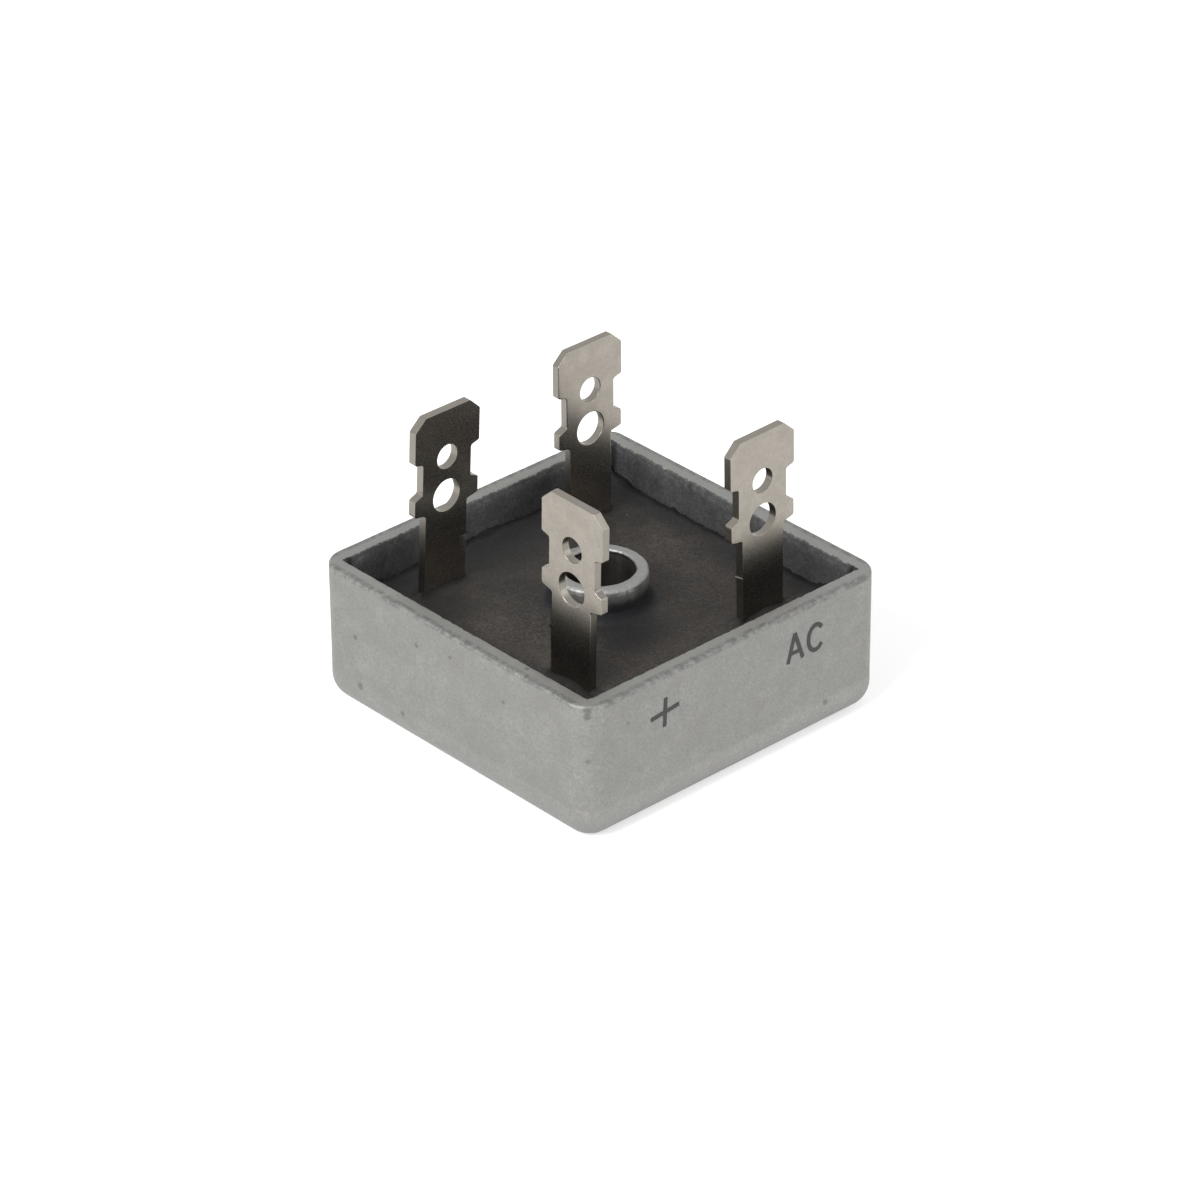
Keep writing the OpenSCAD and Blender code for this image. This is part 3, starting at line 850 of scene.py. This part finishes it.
def flat_face_normals(mesh, degrees):
    """Smooth shading whose normals follow the largest faces, so that flat sheet stays flat
    beside its round edges."""
    mesh.shade_smooth()
    limit = math.cos(math.radians(degrees))
    around = [[] for _ in mesh.vertices]
    for face in mesh.polygons:
        for vertex in face.vertices:
            around[vertex].append(face)
    normals = []
    for face in mesh.polygons:
        for vertex in face.vertices:
            total = Vector()
            for other in around[vertex]:
                if other.normal.dot(face.normal) > limit:
                    total += other.normal * other.area
            normals.append(total.normalized())
    mesh.normals_split_custom_set(normals)


# ---- printed marks ----

def stroke(points, width):
    """Two sides of one pen stroke of this width through points (x, z) on the marked face."""
    flat = [Vector(p) for p in points]
    left, right = [], []
    for i, point in enumerate(flat):
        before = flat[max(i - 1, 0)]
        after = flat[min(i + 1, len(flat) - 1)]
        along = (after - before).normalized()
        side = Vector((-along.y, along.x)) * width / 2
        left.append(point + side)
        right.append(point - side)
    return left, right


def letter_c():
    """Points along the bowl of the C."""
    points = []
    for step in range(C_STEPS + 1):
        angle = math.radians(C_START_ANGLE + C_SWEEP_ANGLE * step / C_STEPS)
        points.append((C_MIDDLE[0] + C_HALF_WIDTH * math.cos(angle),
                       C_MIDDLE[1] + C_HALF_HEIGHT * math.sin(angle)))
    return points


def polarity_marks(material):
    """Plus sign and AC, printed on the face at -Y over their terminals."""
    lines = (PLUS_UPRIGHT, PLUS_LEVEL, A_LEFT_LEG, A_RIGHT_LEG)
    strokes = [stroke(line, PEN_WIDTH) for line in lines]
    strokes.append(stroke(A_BAR, A_BAR_WIDTH))
    strokes.append(stroke(letter_c(), PEN_WIDTH))
    vertices, faces = [], []
    for index, (left, right) in enumerate(strokes):
        # Each stroke lies a hair over the one before, so no two surfaces share a plane
        top = -HALF - INK_PROUD - INK_LAYER * index
        base = -HALF + INK_DEEP
        first = len(vertices)
        count = len(left)
        for y in (top, base):
            vertices += [(p.x, y, p.y) for p in left] + [(p.x, y, p.y) for p in right]
        deep = 2 * count
        for i in range(count - 1):
            a, b = first + i, first + i + 1
            c, d = a + count, b + count
            faces += [(a, c, d, b), (a + deep, b + deep, d + deep, c + deep)]
            faces += [(a, b, b + deep, a + deep), (c, c + deep, d + deep, d)]
        a, c = first, first + count
        e, f = first + count - 1, first + 2 * count - 1
        faces += [(a, a + deep, c + deep, c), (e, f, f + deep, e + deep)]
    new_piece("polarity_marks", vertices, faces, material, None)


# ---- floor, light and camera ----

def seen_as_background(tree):
    """1 for what the camera, a reflection or glass sees, and 0 for the light that falls on things."""
    path = tree.nodes.new("ShaderNodeLightPath")
    total = path.outputs["Is Camera Ray"]
    for ray in ("Is Glossy Ray", "Is Transmission Ray"):
        either = tree.nodes.new("ShaderNodeMath")
        either.operation = "MAXIMUM"
        tree.links.new(total, either.inputs[0])
        tree.links.new(path.outputs[ray], either.inputs[1])
        total = either.outputs["Value"]
    return total


def pale_floor():
    """White floor that keeps the object's shadow and runs out to a white background."""
    half = FLOOR_HALF * MM
    z = -FLOOR_DROP * MM
    mesh = bpy.data.meshes.new("floor")
    mesh.from_pydata([(-half, -half, z), (half, -half, z), (half, half, z), (-half, half, z)],
                     [], [(0, 1, 2, 3)])
    floor = bpy.data.objects.new("floor", mesh)
    bpy.context.scene.collection.objects.link(floor)
    g = Graph("pale_floor")
    g.finish(grey(0.86), 0.9)
    nodes, links = g.tree.nodes, g.tree.links
    glow = nodes.new("ShaderNodeEmission")
    total = nodes.new("ShaderNodeAddShader")
    links.new(g.times(seen_as_background(g.tree), FLOOR_GLOW), glow.inputs["Strength"])
    links.new(g.shader.outputs["BSDF"], total.inputs[0])
    links.new(glow.outputs["Emission"], total.inputs[1])
    links.new(total.outputs["Shader"], nodes["Material Output"].inputs["Surface"])
    mesh.materials.append(g.material)


def white_world():
    world = bpy.data.worlds.new("white_world")
    world.use_nodes = True
    bpy.context.scene.world = world
    nodes, links = world.node_tree.nodes, world.node_tree.links
    background = nodes["Background"]
    background.inputs["Color"].default_value = (1, 1, 1, 1)
    strength = nodes.new("ShaderNodeMath")
    strength.operation = "MULTIPLY_ADD"
    strength.inputs[1].default_value = 1.0 - WORLD_LIGHT
    strength.inputs[2].default_value = WORLD_LIGHT
    links.new(seen_as_background(world.node_tree), strength.inputs[0])
    links.new(strength.outputs["Value"], background.inputs["Strength"])


def soft_lamp(name, place, size, power):
    """Square area lamp at place (in millimetres), facing the object."""
    light = bpy.data.lights.new(name, "AREA")
    light.size = size * MM
    light.energy = power
    lamp = bpy.data.objects.new(name, light)
    lamp.location = Vector(place) * MM
    lamp.rotation_euler = (-lamp.location).to_track_quat("-Z", "Y").to_euler()
    bpy.context.scene.collection.objects.link(lamp)


def studio_camera():
    azimuth, elevation, roll = map(math.radians, (CAMERA_AZIMUTH, CAMERA_ELEVATION, CAMERA_ROLL))
    back = Vector((math.sin(azimuth) * math.cos(elevation), -math.cos(azimuth) * math.cos(elevation),
                   math.sin(elevation)))
    level = Vector((math.cos(azimuth), math.sin(azimuth), 0))
    upright = back.cross(level)
    right = math.cos(roll) * level + math.sin(roll) * upright
    up = math.cos(roll) * upright - math.sin(roll) * level
    place = Vector((0, 0, CAMERA_TARGET_Z)) + back * CAMERA_DISTANCE
    place += right * CAMERA_SLIDE[0] + up * CAMERA_SLIDE[1]
    data = bpy.data.cameras.new("camera")
    data.lens = CAMERA_LENS
    data.sensor_width = CAMERA_SENSOR
    data.clip_start = CAMERA_CLIP_START * MM
    camera = bpy.data.objects.new("camera", data)
    camera.matrix_world = Matrix.Translation(place * MM) @ Matrix((right, up, back)).transposed().to_4x4()
    bpy.context.scene.collection.objects.link(camera)
    bpy.context.scene.camera = camera


# ---- the scene ----

studio_camera()
pale_floor()
white_world()
soft_lamp("key", place=(-500, -60, 400), size=260, power=3.4)
soft_lamp("fill", place=(260, -460, 320), size=420, power=0.7)
bpy.context.scene.view_settings.view_transform = "Standard"

case_shell(case_metal())
potting_fill(potting_compound())
tin = tin_plate()
for terminal in TERMINALS:
    stamped_terminal(terminal, tin)
polarity_marks(printing_ink())

SEALED = {
    "ceramic": fired_ceramic(),
    "copper": rolled_copper(),
    "chip": polished_silicon(),
    "solder": dull_solder(),
}
for row in frame["record"]["subparts"]:
    if row["material_slot"] in SEALED:
        mesh = frame["nodes"][row["node"]].data
        mesh.materials.clear()
        mesh.materials.append(SEALED[row["material_slot"]])

bpy.context.view_layer.update()
